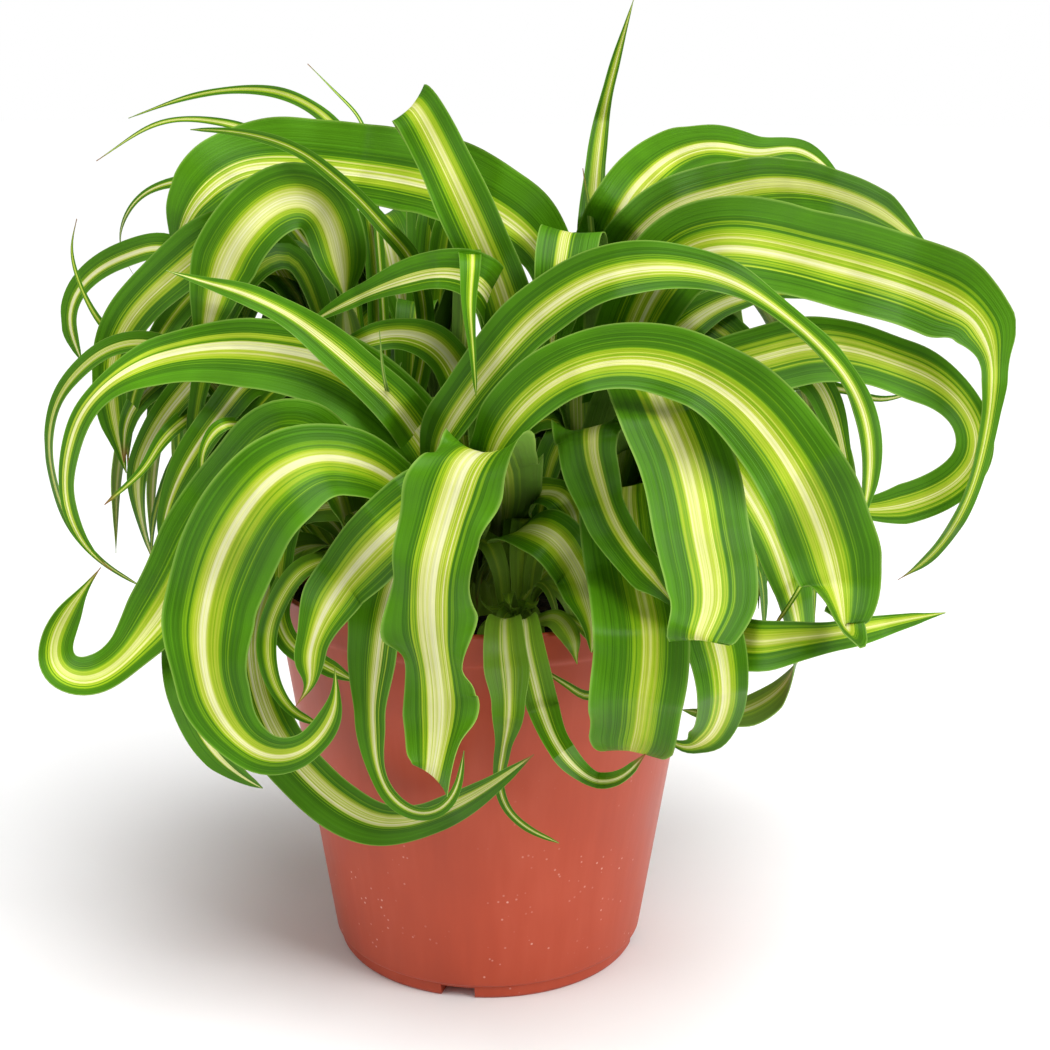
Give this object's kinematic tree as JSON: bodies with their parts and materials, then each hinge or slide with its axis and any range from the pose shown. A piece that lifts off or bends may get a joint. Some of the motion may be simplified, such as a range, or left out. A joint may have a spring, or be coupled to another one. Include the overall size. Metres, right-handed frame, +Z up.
{
  "type": "potted spider plant",
  "caption": "Clump of arching, striped strap leaves growing from crowns in a soil-filled, round tapered plastic nursery pot that stands on its flat base.",
  "frame": {"origin": "centre of the pot's underside, on the surface the pot stands on", "axes": "+Z up along the pot's axis, -Y towards the side the picture shows, +X to the right in the picture"},
  "size_m": [0.2523, 0.2314, 0.2622],
  "materials": {
    "pot": "satin",
    "soil": "matte",
    "leaves": "satin"
  },
  "bodies": {
    "root": {"pot": "pot", "soil": "soil", "crownFront": "leaves", "crownRight": "leaves", "crownLeft": "leaves", "crownLow": "leaves", "crownBackLeft": "leaves", "crownBackRight": "leaves"}
  },
  "joints": []
}
